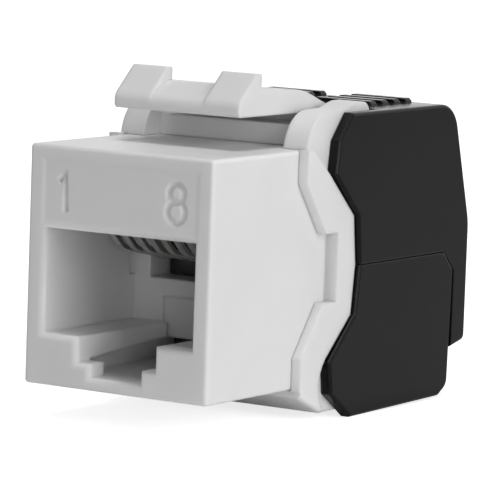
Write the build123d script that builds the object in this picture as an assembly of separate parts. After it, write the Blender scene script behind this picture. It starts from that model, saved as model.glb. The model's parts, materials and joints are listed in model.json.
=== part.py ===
from build123d import *
import os
from math import hypot, radians, tan

# Tool-less keystone jack with two hinged wire caps, in millimetres.
# The origin is the centre of the front face. X runs to the right seen from the front,
# Y runs rearwards and Z runs up.

# Gaps between pieces
fit_gap = 0.05
skirt_gap = 0.02
side_gap = 0.05
pin_gap = 0.05
seam_gap = 0.08
edge_gap = 0.15
swing_gap = 0.1
metal_gap = 0.04

# Front housing
socket_wall = 1.35
face_height = 15.9
housing_length = 13.75
face_rounding = 0.25

# Plug socket, with heights above the housing's underside
socket_width = 11.8
socket_height = 6.95
mouth_rounding = 0.4
shoulder_height = 3.45
key_width = 6.2
key_height = 1.75
tab_width = 4.0
tab_height = 0.85
key_lip = 1.7
catch_width = 8.4
catch_front_rise = 1.05
catch_rear_rise = 1.55
catch_slope_run = 7.8
corner_relief_width = 0.4
corner_relief_depth = 0.7
corner_relief_height = 3.9
back_wall = 2.45
back_panel_width = 7.2
back_panel_height = 1.75
back_panel_depth = 0.3
window_margin = 0.62
window_sill = 2.95

# Contact chamber above the socket, open to the rear
lip_wall = 1.3
chamber_margin = 0.92
chamber_height = 3.0
rear_pocket_wall = 1.05
rear_pocket_depth = 0.7

# Spring contacts and the comb that carries them
contact_count = 8
contact_pitch = 1.02
contact_width = 0.45
contact_thickness = 0.3
contact_slope = 42.0
contact_tip_slope = 12.0
contact_bend_radius = 1.5
contact_knee_setback = 1.8
contact_tip_length = 4.2
carrier_rise = 0.6
carrier_thickness = 1.0
carrier_lug = 0.5
carrier_nose_setback = 2.5
comb_height = 0.55
comb_slot = 0.62
comb_setback = 0.4

# Circuit board behind the front housing
board_inset = 1.05
board_height = 13.8
board_thickness = 1.0
board_front_gap = 0.1

# Rear body: skirt with its notched sides
skirt_wall = 0.73
skirt_lap = 3.75
skirt_rise = 0.1
notch_height = 11.6
notch_depth = 2.6
snap_window_height = 4.66
snap_window_depth = 4.15
snap_window_sink = 0.3
skirt_slope_setback = 0.8

# Rear body: hinge block, latch arm, cheeks and bottom lug
hinge_block_lap = 1.15
hinge_block_reach = 4.55
hinge_block_height = 18.8
platform_rise = 2.55
cheek_inner = 5.6
cheek_setback = 0.65
cheek_foot = 1.4
cheek_rise = 2.5
cheek_radius = 2.7
knuckle_rise = 2.95
knuckle_length = 1.9
knuckle_ramp = 1.6
knuckle_blend = 2.0
knuckle_radius = 0.9
latch_width = 9.9
latch_nose = 6.15
latch_lift = 2.2
latch_nose_height = 0.9
latch_nose_chamfer = 0.2
latch_nose_radius = 0.7
latch_front_rise = 4.1
latch_rear_rise = 3.7
latch_root_setback = 1.45
latch_root_radius = 0.4
latch_web = 1.9
latch_bend_lead = 1.2
latch_bend_radius = 6.0
tooth_gap = 4.3
tooth_crest = 8.25
tooth_back = 8.75
tooth_rise = 5.0
tooth_nose_radius = 0.7
tooth_edge_radius = 0.15
lug_setback = 0.1
lug_drop = 1.8
lug_lip = 0.5
lug_ramp = 2.8
lug_side_radius = 0.4

# Rear body: terminal block with a tower for each blade
terminal_side_gap = 0.95
terminal_height = 8.8
tower_width = 1.9
tower_length = 3.4
tower_height = 2.6
wire_slot = 1.1
wire_slot_depth = 2.0
row_setback = 3.3
row_pitch = 3.8
terminal_end = 1.9

# Insulation-displacement blades
blade_thickness = 0.5
blade_length = 2.4
blade_slot = 0.36
blade_slot_depth = 1.9
blade_mouth = 0.35
blade_below_tower = 0.2
blade_outer_x = 4.4
blade_inner_x = 2.2
leg_height = 0.8
leg_drop = 1.04

# Hinge
pivot_setback = 1.15
pivot_inset = 0.1
trunnion_radius = 0.8
trunnion_length = 0.75

# Wings
wing_proud = 0.3
ear_wall = 0.75
wing_rise = 2.35
wing_front_setback = 2.8
wing_edge_radius = 0.22
plate_wall = 1.25
plate_setback = 1.0
rear_wall = 1.25
tail_wall = 1.85
tail_drop = 6.8
tail_chamfer = 0.4
tail_radius = 0.5
terminal_clearance = 0.5
seam_corner = 1.45
rear_slope_start = 1.95
rear_slope_run = 2.5
ear_reach = 0.6
ear_foot_height = 3.35
ear_foot_step = 0.38
ear_nose_drop = 1.68
ear_shoulder_rise = 0.55
ear_nose_lean = 0.3
upper_ear_chamfer = 1.85
lower_ear_chamfer = 2.9
crown_radius = 2.2
heel_lean = 0.2
heel_height = 0.85
heel_run = 1.15
heel_rise = 0.2
heel_radius = 0.9
heel_toe_radius = 0.4
tail_bend_radius = 4.0
cable_radius = 3.5
cable_drop = 0.9
stuffer_width = 0.7
stuffer_length = 2.8
stuffer_side_gap = 0.15
stuffer_lift = 1.0
rib_count = 4
rib_pitch = 1.55
rib_width = 0.7
rib_height = 0.3
rib_length = 4.65
rib_start = 1.15
rib_bevel = 0.2
rib_rear_inset = 2.2

# Levels and places that follow from the sizes above
half_width = socket_width / 2 + socket_wall
half_height = face_height / 2
socket_floor = shoulder_height - half_height
socket_top = socket_floor + socket_height
key_floor = key_height - half_height
tab_floor = tab_height - half_height
chamber_top = socket_top + chamber_height
back_wall_rear = housing_length - rear_pocket_depth
socket_depth = back_wall_rear - back_wall

contact_row = contact_count * contact_pitch
half_chamber = contact_row / 2 + chamber_margin
half_window = contact_row / 2 + window_margin
carrier_bottom = socket_top + carrier_rise
carrier_top = carrier_bottom + carrier_thickness
carrier_half = half_chamber + carrier_lug
nose_y = lip_wall + carrier_nose_setback
nose_z = carrier_bottom + carrier_thickness / 2
half_board_x = half_width - board_inset
half_board_z = board_height / 2
board_front = housing_length + board_front_gap
board_back = board_front + board_thickness
contact_run_z = carrier_top + metal_gap + contact_thickness / 2
leg_level = contact_run_z - leg_drop
contact_xs = [(i - (contact_count - 1) / 2) * contact_pitch for i in range(contact_count)]

skirt_front = housing_length - skirt_lap
skirt_inner = half_width + skirt_gap
skirt_outer = skirt_inner + skirt_wall
skirt_top = half_height + skirt_rise
wing_outer = skirt_outer + wing_proud
wing_inner = wing_outer - ear_wall
block_half = wing_inner - side_gap

pivot_y = housing_length + pivot_setback
pivot_z = half_height - pivot_inset
hinge_block_front = housing_length - hinge_block_lap
hinge_block_rear = housing_length + hinge_block_reach
latch_root = housing_length + latch_root_setback
wing_front = housing_length + wing_front_setback
ear_nose_y = housing_length - ear_reach
ear_nose_z = half_height - ear_nose_drop
ear_shoulder_y = ear_nose_y + ear_nose_lean
ear_shoulder_z = half_height + ear_shoulder_rise
wing_top = half_height + wing_rise
plate_under = wing_top - plate_wall
plate_front = hinge_block_rear + plate_setback

front_row_y = hinge_block_rear + row_setback
rear_row_y = front_row_y + row_pitch
terminal_rear = rear_row_y + terminal_end
terminal_top = terminal_height / 2
tower_top = terminal_top + tower_height
lower_rear_inner = terminal_rear + terminal_clearance
lower_rear_outer = lower_rear_inner + rear_wall
tail_inner = lower_rear_outer + seam_gap
wing_rear = tail_inner + tail_wall

# Blades in order: upper side left to right, then lower side left to right
blade_row = [
    (-blade_outer_x, front_row_y),
    (-blade_inner_x, rear_row_y),
    (blade_inner_x, rear_row_y),
    (blade_outer_x, front_row_y),
]
blade_places = [(x, y, side) for side in (1, -1) for x, y in blade_row]


def side_prism(outline, x_low, x_high):
    """Solid with an outline of (y, z, corner radius) points, from x_low to x_high."""
    points = [(y, z) for y, z, radius in outline]
    radii = [radius for y, z, radius in outline]
    face = make_face(FilletPolyline(*points, radius=radii, close=True))
    return Pos(X=x_low) * extrude(Plane.YZ * face, x_high - x_low)


def block(x, y, z):
    """Box between the low and high limits along each axis."""
    size = [high - low for low, high in (x, y, z)]
    middle = [(high + low) / 2 for low, high in (x, y, z)]
    return Pos(*middle) * Box(*size)


def both_sides(solid):
    """The solid and its mirror image across the middle plane."""
    return solid + mirror(solid, Plane.YZ)


def across(y, z, radius, x_low, x_high):
    """Round bar along X."""
    bar = Cylinder(radius, x_high - x_low, align=(Align.CENTER, Align.CENTER, Align.MIN))
    return Pos(x_low, y, z) * Rot(Y=90) * bar


def stepped_hole(steps, depth):
    """Hole from the front face with a symmetric outline of (half width, level) steps."""
    left = [(-x, z) for x, z in reversed(steps)]
    outline = make_face(Polyline(*steps, *left, close=True))
    return extrude(Plane.XZ * outline, -depth)


def catch_space():
    """Space behind the key-way's lip, undercut on both sides, where a plug's catch springs out."""
    slope_end = key_lip + catch_slope_run
    outline = [
        (key_lip, tab_floor, 0),
        (key_lip, tab_floor + catch_front_rise, 0),
        (slope_end, tab_floor + catch_rear_rise, 0),
        (back_wall_rear, tab_floor + catch_rear_rise, 0),
        (back_wall_rear, tab_floor, 0),
    ]
    return side_prism(outline, -catch_width / 2, catch_width / 2)


def front_housing():
    half_pocket = half_width - rear_pocket_wall
    body = block((-half_width, half_width), (0, housing_length), (-half_height, half_height))
    long_edges = body.edges().filter_by(Axis.Y)
    body = fillet(long_edges + body.edges().group_by(Axis.Y)[0], face_rounding)

    plug_steps = [
        (socket_width / 2, socket_top),
        (socket_width / 2, socket_floor),
        (key_width / 2, socket_floor),
        (key_width / 2, key_floor),
    ]
    tab_steps = [(tab_width / 2, key_floor), (tab_width / 2, tab_floor)]
    body -= stepped_hole(plug_steps, socket_depth)
    body -= stepped_hole(tab_steps, key_lip)
    front_face = body.faces().sort_by(Axis.Y)[0]
    body = fillet(front_face.inner_wires()[0].edges(), mouth_rounding)
    body -= catch_space()
    relief_edge = socket_width / 2 + corner_relief_width
    body -= block(
        (-relief_edge, relief_edge),
        (socket_depth - corner_relief_depth, socket_depth),
        (socket_top - corner_relief_height, socket_top),
    )

    body -= block((-half_chamber, half_chamber), (lip_wall, housing_length), (socket_top, chamber_top))
    body -= block(
        (-half_pocket, half_pocket),
        (back_wall_rear, housing_length),
        (tab_floor, chamber_top),
    )
    groove = carrier_half + fit_gap
    body -= block(
        (-groove, groove),
        (nose_y - carrier_thickness, housing_length),
        (carrier_bottom - fit_gap, carrier_top + fit_gap),
    )
    body -= block(
        (-half_window, half_window),
        (socket_depth, back_wall_rear),
        (socket_floor + window_sill, socket_top),
    )
    body -= block(
        (-back_panel_width / 2, back_panel_width / 2),
        (socket_depth, socket_depth + back_panel_depth),
        (key_floor, socket_floor + back_panel_height),
    )
    return body


def contact_carrier():
    nose_radius = carrier_thickness / 2
    plate = block(
        (-carrier_half, carrier_half),
        (nose_y, board_front),
        (carrier_bottom, carrier_top),
    )
    carrier = plate + across(nose_y, nose_z, nose_radius, -carrier_half, carrier_half)
    tooth_width = contact_pitch - comb_slot
    for i in range(contact_count + 1):
        x = (i - contact_count / 2) * contact_pitch
        carrier += block(
            (x - tooth_width / 2, x + tooth_width / 2),
            (nose_y + comb_setback, board_front),
            (carrier_top, carrier_top + comb_height),
        )
    return carrier


def contact(x):
    """Flat spring wire: board tail, run over the carrier, bend round its nose, sloping tip."""
    wrap_radius = contact_run_z - nose_z
    corner_y = nose_y - wrap_radius / tan(radians(contact_slope / 2))
    knee_y = nose_y + contact_knee_setback
    knee_z = contact_run_z - (knee_y - corner_y) * tan(radians(contact_slope))
    tip_y = knee_y + contact_tip_length
    tip_z = knee_z - contact_tip_length * tan(radians(contact_tip_slope))
    path = FilletPolyline(
        (board_back - fit_gap, contact_run_z),
        (corner_y, contact_run_z),
        (knee_y, knee_z),
        (tip_y, tip_z),
        radius=[wrap_radius, contact_bend_radius],
    )
    ribbon = Plane.YZ * trace(path, contact_thickness)
    return Pos(X=x - contact_width / 2) * extrude(ribbon, contact_width)


def circuit_board():
    board = block(
        (-half_board_x, half_board_x),
        (board_front, board_back),
        (-half_board_z, half_board_z),
    )
    half_hole_x = contact_width / 2 + metal_gap
    half_hole_z = contact_thickness / 2 + metal_gap
    for x in contact_xs:
        board -= block(
            (x - half_hole_x, x + half_hole_x),
            (board_front, board_back),
            (contact_run_z - half_hole_z, contact_run_z + half_hole_z),
        )
    for x, y, side in blade_places:
        board -= leg_channel(x, side, board_front, board_back)
    return board


def leg_channel(x, side, y_low, y_high):
    """Clear space for a blade's leg between two places along Y."""
    half_x = blade_thickness / 2 + metal_gap
    half_z = leg_height / 2 + metal_gap
    z = side * leg_level
    return block((x - half_x, x + half_x), (y_low, y_high), (z - half_z, z + half_z))


def blade(x, y, side):
    """Slotted blade with a leg that reaches forward into the circuit board."""
    top = tower_top - blade_below_tower
    half = blade_length / 2
    slot = blade_slot / 2
    mouth = slot + blade_mouth
    leg_low = leg_level - leg_height / 2
    leg_high = leg_level + leg_height / 2
    corners = [
        (board_front, leg_low),
        (y + half, leg_low),
        (y + half, top),
        (y + mouth, top),
        (y + slot, top - blade_mouth),
        (y + slot, top - blade_slot_depth),
        (y - slot, top - blade_slot_depth),
        (y - slot, top - blade_mouth),
        (y - mouth, top),
        (y - half, top),
        (y - half, leg_high),
        (board_front, leg_high),
    ]
    outline = [(along, side * level, 0) for along, level in corners]
    return side_prism(outline, x - blade_thickness / 2, x + blade_thickness / 2)


def latch_arm():
    """Sprung arm over the housing's top, joined at its root, with two ramped teeth."""
    under = half_height + latch_lift
    nose_top = under + latch_nose_height
    crest = half_height + latch_front_rise
    bend = half_height + latch_rear_rise
    platform = half_height + platform_rise
    web_foot = hinge_block_height / 2
    nose_low = under + latch_nose_chamfer
    arm = side_prism(
        [
            (latch_nose + latch_nose_chamfer, under, 0),
            (latch_nose, nose_low, 0),
            (latch_nose, nose_top, latch_nose_radius),
            (tooth_crest, crest, latch_root_radius),
            (tooth_back, crest, 0),
            (latch_root - latch_bend_lead, bend, latch_bend_radius),
            (latch_root + latch_web, platform, 0),
            (latch_root + latch_web, web_foot - fit_gap, 0),
            (latch_root, web_foot - fit_gap, 0),
            (latch_root, under, latch_root_radius),
        ],
        -latch_width / 2,
        latch_width / 2,
    )
    tooth_top = half_height + tooth_rise
    tooth = side_prism(
        [
            (latch_nose, nose_low, 0),
            (latch_nose, nose_top, tooth_nose_radius),
            (tooth_crest, tooth_top, tooth_edge_radius),
            (tooth_back, tooth_top, tooth_edge_radius),
            (tooth_back, nose_low, 0),
        ],
        tooth_gap / 2,
        latch_width / 2,
    )
    return arm + both_sides(tooth)


def cheeks():
    """Rounded walls beside the latch arm that end in the upper hinge's knuckles."""
    front = skirt_front + cheek_setback
    foot = half_height - cheek_foot
    top = half_height + cheek_rise
    knuckle_top = half_height + knuckle_rise
    knuckle_front = hinge_block_rear - knuckle_length
    outline = [
        (front, foot, 0),
        (front, top, cheek_radius),
        (knuckle_front - knuckle_ramp, top, knuckle_blend),
        (knuckle_front, knuckle_top, knuckle_blend),
        (hinge_block_rear, knuckle_top, knuckle_radius),
        (hinge_block_rear, foot, 0),
    ]
    return both_sides(side_prism(outline, cheek_inner, block_half))


def bottom_lug():
    """Ramped lug under the housing that hooks over a panel's lower edge."""
    top = cheek_foot - half_height
    lip = -(half_height + lug_lip)
    bottom = -(half_height + lug_drop)
    front = skirt_front + lug_setback
    outline = [
        (front, top, 0),
        (front, lip, 0),
        (front + lug_ramp, bottom, knuckle_radius),
        (hinge_block_rear, bottom, knuckle_radius),
        (hinge_block_rear, top, 0),
    ]
    lug = side_prism(outline, -skirt_outer, skirt_outer)
    rims = lug.faces().sort_by(Axis.X)
    lower = [edge for rim in (rims[0], rims[-1]) for edge in rim.edges() if edge.center().Z < lip]
    return fillet(lower, lug_side_radius)


def skirt():
    """Side plates that clasp the front housing, with a stepped notch in each front edge."""
    half_notch = notch_height / 2
    half_snap = snap_window_height / 2
    window_rear = skirt_front + snap_window_depth
    foot_y = wing_front - ear_foot_step - edge_gap
    outline = [
        (skirt_front, skirt_top, 0),
        (skirt_front, half_notch, 0),
        (skirt_front + notch_depth, half_snap, 0),
        (window_rear, half_snap, 0),
        (window_rear, -half_snap, 0),
        (skirt_front + notch_depth, -half_snap, 0),
        (skirt_front, -half_notch, 0),
        (skirt_front, -skirt_top, 0),
        (foot_y, -skirt_top, 0),
        (foot_y, -ear_foot_height, 0),
        (wing_front - edge_gap, 0, 0),
        (foot_y, ear_foot_height, 0),
        (foot_y, skirt_top, 0),
    ]
    return both_sides(side_prism(outline, skirt_inner, skirt_outer))


def wing_room():
    """Space beside the hinge block for both wings, closed and through their swing."""
    ear_corners = [
        (ear_nose_y, ear_nose_z),
        (ear_shoulder_y, ear_shoulder_z),
        (ear_nose_y + upper_ear_chamfer, wing_top),
    ]
    swing_radius = max(hypot(y - pivot_y, z - pivot_z) for y, z in ear_corners) + swing_gap
    limits = (block_half, wing_outer)
    slope_start = skirt_front + skirt_slope_setback
    foot, nose = ear_front_corners(edge_gap)
    behind = [nose, foot, (wing_rear, foot[1]), (wing_rear, wing_rear)]
    above = behind + [(slope_start, wing_rear), (slope_start, skirt_top)]
    below = behind + [(nose[0], wing_rear)]
    room = Part()
    for side, corners in ((1, above), (-1, below)):
        room += side_prism([(y, side * z, 0) for y, z in corners], *limits)
        room += across(pivot_y, side * pivot_z, swing_radius, *limits)
    return both_sides(room)


def ear_front_corners(gap):
    """Front edge of an ear from its foot to its nose, moved forward by gap."""
    return [
        (wing_front - ear_foot_step, ear_foot_height - gap),
        (ear_nose_y - gap, ear_nose_z - gap),
    ]


def terminal_block():
    """Block behind the hinges with a slotted tower for each blade."""
    half = wing_inner - terminal_side_gap
    body = block((-half, half), (board_back, terminal_rear), (-terminal_top, terminal_top))
    for x, y, side in blade_places:
        levels = sorted((0, side * tower_top))
        body += block(
            (x - tower_width / 2, x + tower_width / 2),
            (y - tower_length / 2, y + tower_length / 2),
            levels,
        )
    for x, y, side in blade_places:
        slot_levels = sorted((side * (tower_top - wire_slot_depth), side * tower_top))
        cavity_levels = sorted((side * (leg_level - leg_height / 2 - metal_gap), side * tower_top))
        half_x = blade_thickness / 2 + metal_gap
        half_y = blade_length / 2 + metal_gap
        body -= block(
            (x - tower_width / 2, x + tower_width / 2),
            (y - wire_slot / 2, y + wire_slot / 2),
            slot_levels,
        )
        body -= block((x - half_x, x + half_x), (y - half_y, y + half_y), cavity_levels)
    return body


def rear_body():
    half_block = hinge_block_height / 2
    window_floor = skirt_inner - snap_window_sink
    half_snap = snap_window_height / 2
    pocket_end = housing_length + fit_gap
    foot = half_height + skirt_gap
    platform = half_height + platform_rise
    body = block(
        (-block_half, block_half),
        (hinge_block_front, hinge_block_rear),
        (-half_block, half_block),
    )
    body += block(
        (-cheek_inner, cheek_inner),
        (latch_root + latch_web / 2, hinge_block_rear),
        (0, platform),
    )
    body += bottom_lug()
    body += skirt()
    body -= wing_room()
    body += cheeks()
    body += terminal_block()
    body += latch_arm()
    body -= block((-skirt_inner, skirt_inner), (0, pocket_end), (-foot, foot))
    pocket_x = half_board_x + fit_gap
    pocket_z = half_board_z + fit_gap
    body -= block((-pocket_x, pocket_x), (pocket_end, board_back + fit_gap), (-pocket_z, pocket_z))
    body -= both_sides(
        block(
            (window_floor, skirt_outer),
            (skirt_front + notch_depth, skirt_front + snap_window_depth),
            (-half_snap, half_snap),
        )
    )
    for x, y, side in blade_places:
        body -= leg_channel(x, side, board_back, y)
    hole_end = wing_inner - trunnion_length - pin_gap
    for side in (1, -1):
        hole = across(pivot_y, side * pivot_z, trunnion_radius + pin_gap, hole_end, wing_inner)
        body -= both_sides(hole)
    return body


def wing_shell(outline, seam, cavity, side):
    """Cap with rounded edges, sharp along the seam, hollow, with a trunnion inside each ear."""
    shell = side_prism(outline + seam, -wing_outer, wing_outer)
    rims = shell.faces().sort_by(Axis.X)
    soft = [edge for rim in (rims[0], rims[-1]) for edge in rim.edges() if not on_line(edge, seam)]
    shell = fillet(soft, wing_edge_radius)
    shell -= side_prism(cavity, -wing_inner, wing_inner)
    trunnion = across(
        pivot_y,
        side * pivot_z,
        trunnion_radius,
        wing_inner - trunnion_length,
        wing_inner + ear_wall / 2,
    )
    shell += both_sides(trunnion)
    shell += wire_stuffers(side)
    return shell


def on_line(edge, line):
    """Whether both ends of an edge are corners of a line of (y, z, corner radius) points."""
    corners = [Vector(0, y, z) for y, z, radius in line]
    ends = [Vector(0, vertex.Y, vertex.Z) for vertex in edge.vertices()]
    return all(min((end - corner).length for corner in corners) < seam_gap / 2 for end in ends)


def wire_stuffers(side):
    """Ribs under the plate that press a wire down on both sides of each tower."""
    low = terminal_top + stuffer_lift
    levels = sorted((side * low, side * (plate_under + plate_wall / 2)))
    offset_x = tower_width / 2 + stuffer_side_gap + stuffer_width / 2
    ribs = Part()
    for x, y in blade_row:
        for rib_x in (x - offset_x, x + offset_x):
            ribs += block(
                (rib_x - stuffer_width / 2, rib_x + stuffer_width / 2),
                (y - stuffer_length / 2, y + stuffer_length / 2),
                levels,
            )
    return ribs


def grip_ribs(z_low, z_high):
    """Two groups of thumb ribs, side by side."""
    ribs = Part()
    last = plate_back() - rib_rear_inset
    for i in range(rib_count):
        y = last - i * rib_pitch
        rib = block(
            (rib_start, rib_start + rib_length),
            (y - rib_width / 2, y + rib_width / 2),
            (z_low, z_high),
        )
        top_ends = rib.edges().filter_by(Axis.Y).group_by(Axis.Z)[-1]
        ribs += both_sides(chamfer(top_ends, rib_bevel))
    return ribs


def plate_back():
    """Where the upper wing's sloping rear meets its top."""
    return wing_rear - rear_slope_run


def cable_notch(side):
    """U-shaped way for the cable through a wing's rear wall, open towards the other wing."""
    hole = Cylinder(cable_radius, wing_rear, rotation=(90, 0, 0))
    notch = Pos(0, wing_rear, -cable_drop) * hole
    end = -side * wing_rear - cable_drop
    return notch + block(
        (-cable_radius, cable_radius),
        (wing_rear / 2, wing_rear * 3 / 2),
        sorted((-cable_drop, end)),
    )


def upper_wing():
    foot, nose = ear_front_corners(0)
    half_seam = seam_gap / 2
    outline = [
        (wing_rear, -tail_drop + tail_chamfer, tail_radius),
        (wing_rear, rear_slope_start, tail_bend_radius),
        (plate_back(), wing_top, crown_radius),
        (ear_nose_y + upper_ear_chamfer, wing_top, 0),
        (ear_shoulder_y, ear_shoulder_z, 0),
        (*nose, 0),
        (*foot, 0),
    ]
    seam = [
        (wing_front, half_seam, 0),
        (lower_rear_outer - seam_corner, half_seam, 0),
        (tail_inner, half_seam - seam_corner, 0),
        (tail_inner, -tail_drop, 0),
    ]
    inner_slope = plate_wall * rear_slope_run / (wing_top - rear_slope_start)
    cavity = [
        (0, -wing_rear, 0),
        (tail_inner, -wing_rear, 0),
        (tail_inner, rear_slope_start, 0),
        (plate_back() - tail_wall + inner_slope, plate_under, 0),
        (plate_front, plate_under, 0),
        (plate_front, wing_rear, 0),
        (0, wing_rear, 0),
    ]
    wing = wing_shell(outline, seam, cavity, 1)
    wing += grip_ribs(wing_top - plate_wall / 2, wing_top + rib_height)
    return wing - cable_notch(1)


def lower_wing():
    foot, nose = ear_front_corners(0)
    half_seam = seam_gap / 2
    heel_y = lower_rear_outer - heel_lean
    outline = [
        (heel_y, -wing_top + heel_height, heel_radius),
        (heel_y - heel_run, -wing_top + heel_rise, heel_toe_radius),
        (ear_nose_y + lower_ear_chamfer, -wing_top, 0),
        (ear_shoulder_y, -ear_shoulder_z, 0),
        (nose[0], -nose[1], 0),
        (foot[0], -foot[1], 0),
    ]
    seam = [
        (wing_front, -half_seam, 0),
        (lower_rear_outer - seam_corner, -half_seam, 0),
        (lower_rear_outer, -half_seam - seam_corner, 0),
    ]
    cavity = [
        (0, wing_rear, 0),
        (lower_rear_inner, wing_rear, 0),
        (lower_rear_inner - heel_lean, -plate_under, 0),
        (plate_front, -plate_under, 0),
        (plate_front, -wing_rear, 0),
        (0, -wing_rear, 0),
    ]
    wing = wing_shell(outline, seam, cavity, -1)
    wing -= grip_ribs(-wing_top, -wing_top + heel_rise + rib_height)
    return wing - cable_notch(-1)


def all_parts():
    parts = {
        "front_housing": front_housing(),
        "contact_carrier": contact_carrier(),
        "circuit_board": circuit_board(),
        "rear_body": rear_body(),
        "upper_wing": upper_wing(),
        "lower_wing": lower_wing(),
    }
    for number, x in enumerate(contact_xs, 1):
        parts[f"contact_{number}"] = contact(x)
    for number, place in enumerate(blade_places, 1):
        parts[f"blade_{number}"] = blade(*place)
    return parts


os.makedirs("parts", exist_ok=True)
for name, solid in all_parts().items():
    export_step(solid, f"parts/{name}.step")
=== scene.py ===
import json
from math import cos, pi, radians, sin

import bmesh
import bpy
from mathutils import Matrix, Vector


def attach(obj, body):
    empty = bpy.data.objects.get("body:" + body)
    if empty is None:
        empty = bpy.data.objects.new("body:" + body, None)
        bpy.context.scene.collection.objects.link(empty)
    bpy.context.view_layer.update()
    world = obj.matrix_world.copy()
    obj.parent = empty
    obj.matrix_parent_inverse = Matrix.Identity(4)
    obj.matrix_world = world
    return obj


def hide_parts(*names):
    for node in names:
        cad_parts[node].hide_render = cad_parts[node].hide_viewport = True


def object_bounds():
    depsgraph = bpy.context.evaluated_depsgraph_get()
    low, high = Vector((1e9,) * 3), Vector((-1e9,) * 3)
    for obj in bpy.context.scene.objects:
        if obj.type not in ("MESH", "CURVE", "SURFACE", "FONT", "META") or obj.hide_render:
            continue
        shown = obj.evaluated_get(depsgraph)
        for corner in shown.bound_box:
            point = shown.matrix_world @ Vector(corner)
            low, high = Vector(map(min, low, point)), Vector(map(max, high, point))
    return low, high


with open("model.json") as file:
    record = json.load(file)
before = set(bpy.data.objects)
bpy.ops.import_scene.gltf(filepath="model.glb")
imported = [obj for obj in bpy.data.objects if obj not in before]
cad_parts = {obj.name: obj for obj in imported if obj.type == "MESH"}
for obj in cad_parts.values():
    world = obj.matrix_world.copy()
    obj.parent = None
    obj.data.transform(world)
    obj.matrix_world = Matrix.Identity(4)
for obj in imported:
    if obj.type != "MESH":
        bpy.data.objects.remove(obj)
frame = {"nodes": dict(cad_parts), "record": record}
cad_box = [list(corner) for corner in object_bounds()]

MM = 0.001
NODES = frame["nodes"]
SCENE = bpy.context.scene


def link(obj):
    SCENE.collection.objects.link(obj)
    return obj


def mesh_object(name, verts, faces):
    mesh = bpy.data.meshes.new(name)
    mesh.from_pydata(verts, [], faces)
    mesh.update()
    return link(bpy.data.objects.new(name, mesh))


def direction(azimuth, elevation):
    """Unit vector away from the part, in degrees to the right of its front and above level."""
    a, e = radians(azimuth), radians(elevation)
    return Vector((sin(a) * cos(e), -cos(a) * cos(e), sin(e)))


# Materials. Every node tree works in its object's own coordinates, in metres.

NOISE_LOW, NOISE_HIGH = 0.3, 0.7
FLAT_DOT, EDGE_DOT = 0.99, 0.8
BEVEL_SAMPLES = 6
MIX_FIRST, MIX_SECOND, MIX_RESULT = 6, 7, 2

# Moulded plastic
DRIFT_SIZE = 6 * MM
# Patch size of the lighter edge colour, which is partly wear and partly a painted edge highlight.
EDGE_WEAR_AND_HIGHLIGHT_SIZE = 0.8 * MM
GLOSS_SIZE = 2.2 * MM
GLOSS_SPREAD = 0.05
WAVE_SIZE = 1.6 * MM
WAVE_DEPTH = 0.01 * MM
WAVE_STRENGTH = 0.25
GRAIN_SIZE = 0.09 * MM
GRAIN_DEPTH = 0.006 * MM
LIGHT_REACH = 0.8 * MM
LIGHT_REACH_BY_COLOUR = (1.0, 0.95, 0.9)

# Plated metal
PLATING_DRIFT_SIZE = 0.8 * MM
DRAWN_LINE_SIZE = 0.35 * MM
DRAWN_LINE_STRETCH = (30, 1, 1)
DRAWN_LINE_DEPTH = 0.004 * MM
DRAWN_LINE_STRENGTH = 0.25

# Circuit board
WEAVE_SIZE = 0.25 * MM
WEAVE_STRETCH = (1, 1, 3)
WEAVE_DEPTH = 0.01 * MM
WEAVE_STRENGTH = 0.3


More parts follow.
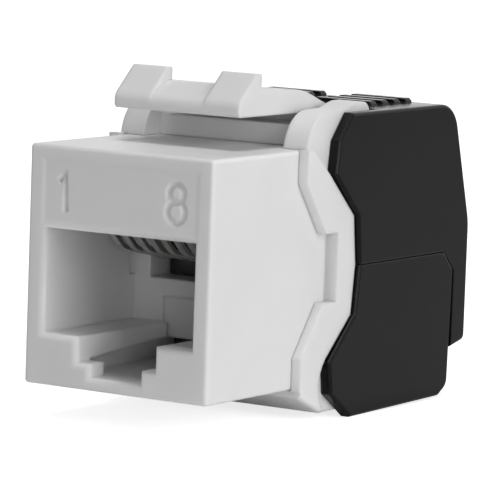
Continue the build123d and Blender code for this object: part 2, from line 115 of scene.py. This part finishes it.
class Tree:
    """A material's node tree with short calls for the nodes used here."""

    def __init__(self, name):
        self.material = bpy.data.materials.new(name)
        self.material.use_nodes = True
        tree = self.material.node_tree
        self.nodes, self.links = tree.nodes, tree.links
        self.shader = self.nodes["Principled BSDF"]
        self.place = self.nodes.new("ShaderNodeTexCoord").outputs["Object"]

    def join(self, source, target):
        self.links.new(source, target)

    def noise(self, size, detail, roughness=0.5, stretch=(1, 1, 1)):
        """Noise whose features are about size metres across."""
        mapping = self.nodes.new("ShaderNodeMapping")
        mapping.inputs["Scale"].default_value = stretch
        self.join(self.place, mapping.inputs["Vector"])
        node = self.nodes.new("ShaderNodeTexNoise")
        node.inputs["Scale"].default_value = 1.0 / size
        node.inputs["Detail"].default_value = detail
        node.inputs["Roughness"].default_value = roughness
        self.join(mapping.outputs["Vector"], node.inputs["Vector"])
        return node.outputs["Fac"]

    def span(self, value, low, high, from_low=NOISE_LOW, from_high=NOISE_HIGH):
        """Maps a value from one range, by default the one that noise fills, to another."""
        node = self.nodes.new("ShaderNodeMapRange")
        node.inputs["From Min"].default_value = from_low
        node.inputs["From Max"].default_value = from_high
        node.inputs["To Min"].default_value = low
        node.inputs["To Max"].default_value = high
        self.join(value, node.inputs["Value"])
        return node.outputs["Result"]

    def multiply(self, first, second):
        """Product of a socket and a number or another socket."""
        node = self.nodes.new("ShaderNodeMath")
        node.operation = "MULTIPLY"
        self.join(first, node.inputs[0])
        if isinstance(second, float):
            node.inputs[1].default_value = second
        else:
            self.join(second, node.inputs[1])
        return node.outputs["Value"]

    def mix(self, factor, first, second):
        """Blends two colours, each a tuple or a socket."""
        node = self.nodes.new("ShaderNodeMix")
        node.data_type = "RGBA"
        self.join(factor, node.inputs["Factor"])
        for place, value in ((MIX_FIRST, first), (MIX_SECOND, second)):
            if isinstance(value, tuple):
                node.inputs[place].default_value = (*value, 1.0)
            else:
                self.join(value, node.inputs[place])
        return node.outputs[MIX_RESULT]

    def rounded(self, radius):
        """Normal with sharp edges rounded off."""
        node = self.nodes.new("ShaderNodeBevel")
        node.samples = BEVEL_SAMPLES
        node.inputs["Radius"].default_value = radius
        return node.outputs["Normal"]

    def edges(self, rounded):
        """1 on edges and 0 on flats, from how far the rounded normal leans."""
        geometry = self.nodes.new("ShaderNodeNewGeometry")
        dot = self.nodes.new("ShaderNodeVectorMath")
        dot.operation = "DOT_PRODUCT"
        self.join(rounded, dot.inputs[0])
        self.join(geometry.outputs["Normal"], dot.inputs[1])
        return self.span(dot.outputs["Value"], 1.0, 0.0, EDGE_DOT, FLAT_DOT)

    def bump(self, height, strength, distance, normal):
        """Bumps of a height in metres on top of another normal."""
        node = self.nodes.new("ShaderNodeBump")
        node.inputs["Strength"].default_value = strength
        node.inputs["Distance"].default_value = distance
        self.join(height, node.inputs["Height"])
        self.join(normal, node.inputs["Normal"])
        return node.outputs["Normal"]

    def drive(self, **sources):
        """Joins sockets to the shader's inputs, named with underscores for spaces."""
        for name, source in sources.items():
            self.join(source, self.shader.inputs[name.replace("_", " ")])

    def set(self, **values):
        """Sets constants on the shader's inputs, named in the same way."""
        for name, value in values.items():
            self.shader.inputs[name.replace("_", " ")].default_value = value


def moulded_plastic(name, base, tint, edge_wear_and_highlight, roughness, grain, soft_edge, shine, see_through=0.0):
    """Satin moulded plastic: fine spark-eroded grain, slow colour drift, edges lightened in patches,
    partly as wear and partly as a painted highlight.
    """
    tree = Tree(name)
    rounded = tree.rounded(soft_edge)
    drift = tree.span(tree.noise(DRIFT_SIZE, 4.0), 0.0, 1.0)
    # Edges take a lighter colour in patches: partly wear, partly a painted highlight along the
    # edges.
    worn_and_highlit_edges = tree.multiply(tree.edges(rounded), tree.noise(EDGE_WEAR_AND_HIGHLIGHT_SIZE, 5.0, 0.7))
    gloss = tree.noise(GLOSS_SIZE, 4.0, 0.6)
    waves = tree.bump(tree.noise(WAVE_SIZE, 2.0), WAVE_STRENGTH, WAVE_DEPTH, rounded)
    tree.drive(
        Base_Color=tree.mix(worn_and_highlit_edges, tree.mix(drift, base, tint), edge_wear_and_highlight),
        Roughness=tree.span(gloss, roughness - GLOSS_SPREAD, roughness + GLOSS_SPREAD),
        Normal=tree.bump(tree.noise(GRAIN_SIZE, 2.0), grain, GRAIN_DEPTH, waves),
    )
    tree.set(Specular_IOR_Level=shine)
    if see_through:
        tree.set(
            Subsurface_Weight=see_through,
            Subsurface_Scale=LIGHT_REACH,
            Subsurface_Radius=LIGHT_REACH_BY_COLOUR,
        )
    return tree.material


def plated_metal(name, base, tint, roughness, soft_edge):
    """Plated strip with fine drawing lines along it."""
    tree = Tree(name)
    drift = tree.span(tree.noise(PLATING_DRIFT_SIZE, 4.0), 0.0, 1.0)
    lines = tree.noise(DRAWN_LINE_SIZE, 3.0, 0.6, DRAWN_LINE_STRETCH)
    tree.drive(
        Base_Color=tree.mix(drift, base, tint),
        Roughness=tree.span(lines, roughness - 0.06, roughness + 0.1),
        Normal=tree.bump(lines, DRAWN_LINE_STRENGTH, DRAWN_LINE_DEPTH, tree.rounded(soft_edge)),
    )
    tree.set(Metallic=1.0)
    return tree.material


def solder_mask(name, base, tint, soft_edge):
    """Circuit board: mask over a glass weave."""
    tree = Tree(name)
    weave = tree.noise(WEAVE_SIZE, 2.0, 0.5, WEAVE_STRETCH)
    tree.drive(
        Base_Color=tree.mix(tree.span(weave, 0.0, 1.0), base, tint),
        Roughness=tree.span(weave, 0.28, 0.4),
        Normal=tree.bump(weave, WEAVE_STRENGTH, WEAVE_DEPTH, tree.rounded(soft_edge)),
    )
    return tree.material


# Each plastic's edge colour is lighter than its body: partly wear, partly a painted edge highlight.
WHITE = moulded_plastic(
    "white_plastic",
    base=(0.79, 0.79, 0.79),
    tint=(0.765, 0.765, 0.765),
    edge_wear_and_highlight=(0.82, 0.82, 0.82),
    roughness=0.42,
    grain=0.25,
    soft_edge=0.26 * MM,
    shine=0.45,
    see_through=0.4,
)
BLACK = moulded_plastic(
    "black_plastic",
    base=(0.004, 0.004, 0.0041),
    tint=(0.0055, 0.0055, 0.0056),
    edge_wear_and_highlight=(0.03, 0.03, 0.03),
    roughness=0.18,
    grain=0.12,
    soft_edge=0.16 * MM,
    shine=0.15,
)
COMB = moulded_plastic(
    "comb_plastic",
    base=(0.06, 0.06, 0.06),
    tint=(0.075, 0.075, 0.075),
    edge_wear_and_highlight=(0.1, 0.1, 0.1),
    roughness=0.45,
    grain=0.25,
    soft_edge=0.1 * MM,
    shine=0.4,
)
CONTACT = plated_metal(
    "contact_metal",
    base=(0.70, 0.695, 0.68),
    tint=(0.56, 0.555, 0.545),
    roughness=0.34,
    soft_edge=0.12 * MM,
)
BLADE = plated_metal(
    "blade_metal",
    base=(0.72, 0.72, 0.71),
    tint=(0.62, 0.62, 0.61),
    roughness=0.34,
    soft_edge=0.05 * MM,
)
BOARD = solder_mask(
    "board",
    base=(0.120, 0.123, 0.120),
    tint=(0.160, 0.163, 0.160),
    soft_edge=0.05 * MM,
)

FINISH = {
    "white_plastic": WHITE,
    "black_plastic": BLACK,
    "comb_plastic": COMB,
    "contact_metal": CONTACT,
    "blade_metal": BLADE,
    "board": BOARD,
}


def dress(obj, material):
    obj.data.materials.clear()
    obj.data.materials.append(material)


for entry in frame["record"]["subparts"]:
    dress(NODES[entry["node"]], FINISH[entry["material_slot"]])


# Front face: a shallow bare panel above the socket, with plain pin numbers at its ends.

PANEL_HALF_WIDTH = 5.95 * MM
PANEL_LOW = 2.95 * MM
PANEL_HIGH = 6.85 * MM
PANEL_DEPTH = 0.06 * MM
PANEL_SLOPE = 0.3 * MM

NUMBER_X = 4.35 * MM
NUMBER_HEIGHT = 2.5 * MM
ONE_FLAG = 0.55 * MM
EIGHT_UPPER_HALF_WIDTH = 0.58 * MM
EIGHT_LOWER_HALF_WIDTH = 0.68 * MM
EIGHT_UPPER_HALF_HEIGHT = 0.598 * MM
EIGHT_WAIST_OVERLAP = 0.1 * MM
RING_POINTS = 40

STROKE_RADIUS = 0.24 * MM
STROKE_ROUNDNESS = 4
STROKE_LIFT = 0.03 * MM
CROSSING_LIFT = 0.042 * MM
WELD = 0.0005 * MM


def panel_cutter():
    """Shallow tray with sloping sides, open towards the viewer."""
    rings = []
    for y, grow in ((-PANEL_DEPTH, 2 * PANEL_SLOPE), (PANEL_DEPTH, 0.0)):
        x = PANEL_HALF_WIDTH + grow
        low, high = PANEL_LOW - grow, PANEL_HIGH + grow
        rings += [(-x, y, low), (x, y, low), (x, y, high), (-x, y, high)]
    faces = [(0, 1, 2, 3), (7, 6, 5, 4)]
    faces += [(4 + i, 4 + (i + 1) % 4, (i + 1) % 4, i) for i in range(4)]
    return mesh_object("panel_cutter", rings, faces)


def stroke_cutter(points, cyclic, lift=STROKE_LIFT):
    """Round bar along a stroke of a number, which leaves a rounded groove."""
    curve = bpy.data.curves.new("stroke", "CURVE")
    curve.dimensions = "3D"
    curve.bevel_depth = STROKE_RADIUS
    curve.bevel_resolution = STROKE_ROUNDNESS
    curve.use_fill_caps = True
    spline = curve.splines.new("POLY")
    spline.points.add(len(points) - 1)
    for point, (x, z) in zip(spline.points, points):
        point.co = (x, PANEL_DEPTH - lift, z, 1.0)
    spline.use_cyclic_u = cyclic
    temporary = link(bpy.data.objects.new("stroke", curve))
    bpy.context.view_layer.update()
    mesh = bpy.data.meshes.new_from_object(temporary)
    bpy.data.objects.remove(temporary)
    return link(bpy.data.objects.new("stroke_cutter", mesh))


def ring_points(x, z, half_width, half_height):
    turns = [2 * pi * i / RING_POINTS for i in range(RING_POINTS)]
    return [(x + half_width * cos(t), z + half_height * sin(t)) for t in turns]


def number_cutters():
    """A 1 and an 8, whose rings differ in depth so that no facets coincide where they cross."""
    middle = (PANEL_LOW + PANEL_HIGH) / 2
    half = NUMBER_HEIGHT / 2
    one = [
        (-NUMBER_X - ONE_FLAG, middle + half - ONE_FLAG),
        (-NUMBER_X, middle + half),
        (-NUMBER_X, middle - half),
    ]
    upper_half = EIGHT_UPPER_HALF_HEIGHT
    lower_half = half - upper_half + EIGHT_WAIST_OVERLAP / 2
    upper = ring_points(NUMBER_X, middle + half - upper_half, EIGHT_UPPER_HALF_WIDTH, upper_half)
    lower = ring_points(NUMBER_X, middle - half + lower_half, EIGHT_LOWER_HALF_WIDTH, lower_half)
    return [
        stroke_cutter(one, False),
        stroke_cutter(upper, True),
        stroke_cutter(lower, True, CROSSING_LIFT),
    ]


def cut(obj, cutters):
    """Takes the cutters out of an object's mesh, one after another, and removes them."""
    for cutter in cutters:
        modifier = obj.modifiers.new("cut", "BOOLEAN")
        modifier.operation = "DIFFERENCE"
        modifier.solver = "EXACT"
        modifier.object = cutter
        bpy.context.view_layer.update()
        done = obj.evaluated_get(bpy.context.evaluated_depsgraph_get())
        mesh = bpy.data.meshes.new_from_object(done)
        obj.modifiers.clear()
        obj.data = mesh
        bpy.data.objects.remove(cutter)


def weld(obj):
    """Joins points that the cuts left on top of each other, so that no sliver stays between them."""
    shell = bmesh.new()
    shell.from_mesh(obj.data)
    bmesh.ops.remove_doubles(shell, verts=shell.verts, dist=WELD)
    shell.to_mesh(obj.data)
    shell.free()


housing = link(bpy.data.objects.new("housing_shell", NODES["front_housing"].data.copy()))
cut(housing, [panel_cutter()] + number_cutters())
weld(housing)
dress(housing, WHITE)
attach(housing, "jack_body")
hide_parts("front_housing")


# Stage: pale floor that looks white to the camera, white surroundings and soft lights.

FLOOR_SIZE = 3.0
FLOOR_Z = cad_box[0][2]
FLOOR_DARK, FLOOR_PALE = 0.86, 0.88
FLOOR_ROUGHNESS = 0.8
FLOOR_GLOW = 0.75
PAPER_SIZE = 3 * MM
FILL_LIGHT = 0.125
LIGHT_DISTANCE = 0.6
LIGHT_TARGET = Vector((0, 12 * MM, 0))


def white_floor():
    tree = Tree("pale_floor")
    paper = tree.noise(PAPER_SIZE, 2.0)
    path = tree.nodes.new("ShaderNodeLightPath")
    tree.drive(
        Base_Color=tree.span(paper, FLOOR_DARK, FLOOR_PALE),
        Emission_Strength=tree.multiply(path.outputs["Is Camera Ray"], FLOOR_GLOW),
    )
    tree.set(Roughness=FLOOR_ROUGHNESS, Emission_Color=(1, 1, 1, 1))
    half = FLOOR_SIZE / 2
    corners = [(-half, -half), (half, -half), (half, half), (-half, half)]
    floor = mesh_object("floor", [(x, y, FLOOR_Z) for x, y in corners], [(0, 1, 2, 3)])
    dress(floor, tree.material)


def surroundings():
    """White to the camera and in reflections, and a weak light from all sides."""
    world = bpy.data.worlds.new("studio")
    SCENE.world = world
    world.use_nodes = True
    nodes, links = world.node_tree.nodes, world.node_tree.links
    background = nodes["Background"]
    background.inputs["Color"].default_value = (1, 1, 1, 1)
    path = nodes.new("ShaderNodeLightPath")
    seen = nodes.new("ShaderNodeMath")
    seen.operation = "MAXIMUM"
    links.new(path.outputs["Is Camera Ray"], seen.inputs[0])
    links.new(path.outputs["Is Glossy Ray"], seen.inputs[1])
    level = nodes.new("ShaderNodeMapRange")
    level.inputs["To Min"].default_value = FILL_LIGHT
    level.inputs["To Max"].default_value = 1.0
    links.new(seen.outputs["Value"], level.inputs["Value"])
    links.new(level.outputs["Result"], background.inputs["Strength"])


def soft_light(name, azimuth, elevation, size, power):
    """Round lamp, in metres and watts, that faces the middle of the part."""
    light = bpy.data.lights.new(name, "AREA")
    light.shape = "DISK"
    light.size = size
    light.energy = power
    obj = link(bpy.data.objects.new(name, light))
    away = direction(azimuth, elevation)
    obj.location = LIGHT_TARGET + LIGHT_DISTANCE * away
    obj.rotation_euler = away.to_track_quat("Z", "Y").to_euler()


white_floor()
surroundings()
soft_light("key", azimuth=78, elevation=17, size=0.45, power=1.8)
soft_light("top", azimuth=40, elevation=85, size=0.3, power=1.6)
soft_light("front", azimuth=40, elevation=6, size=0.12, power=0.28)


# Camera at the photograph's place: long lens, a little roll.

CAMERA_AZIMUTH = 33.431
CAMERA_ELEVATION = 6.776
CAMERA_ROLL = 1.994
CAMERA_DISTANCE = 269.209 * MM
AIM = Vector((0, 12 * MM, 0.05 * MM))
AIM_PIXEL = (219.811, 257.907)
FOCAL_PIXELS = 3998.8
IMAGE_PIXELS = 480
SENSOR_WIDTH = 36.0
CLIP_START, CLIP_END = 0.01, 10.0


def photo_camera():
    """Turned from the aim point so far that this point lands on its pixel."""
    azimuth, roll = radians(CAMERA_AZIMUTH), radians(CAMERA_ROLL)
    back = direction(CAMERA_AZIMUTH, CAMERA_ELEVATION)
    right = Vector((cos(azimuth), sin(azimuth), 0))
    up = back.cross(right)
    x_axis = right * cos(roll) + up * sin(roll)
    y_axis = up * cos(roll) - right * sin(roll)
    centre = IMAGE_PIXELS / 2
    forward = -back
    forward += x_axis * (centre - AIM_PIXEL[0]) / FOCAL_PIXELS
    forward += y_axis * (AIM_PIXEL[1] - centre) / FOCAL_PIXELS
    z_axis = -forward.normalized()
    x_axis = (x_axis - x_axis.dot(z_axis) * z_axis).normalized()
    y_axis = z_axis.cross(x_axis)
    camera = bpy.data.cameras.new("camera")
    camera.sensor_width = SENSOR_WIDTH
    camera.lens = FOCAL_PIXELS * SENSOR_WIDTH / IMAGE_PIXELS
    camera.clip_start = CLIP_START
    camera.clip_end = CLIP_END
    obj = link(bpy.data.objects.new("camera", camera))
    pose = Matrix((x_axis, y_axis, z_axis)).transposed().to_4x4()
    pose.translation = AIM + CAMERA_DISTANCE * back
    obj.matrix_world = pose
    SCENE.camera = obj


photo_camera()
SCENE.view_settings.view_transform = "Standard"
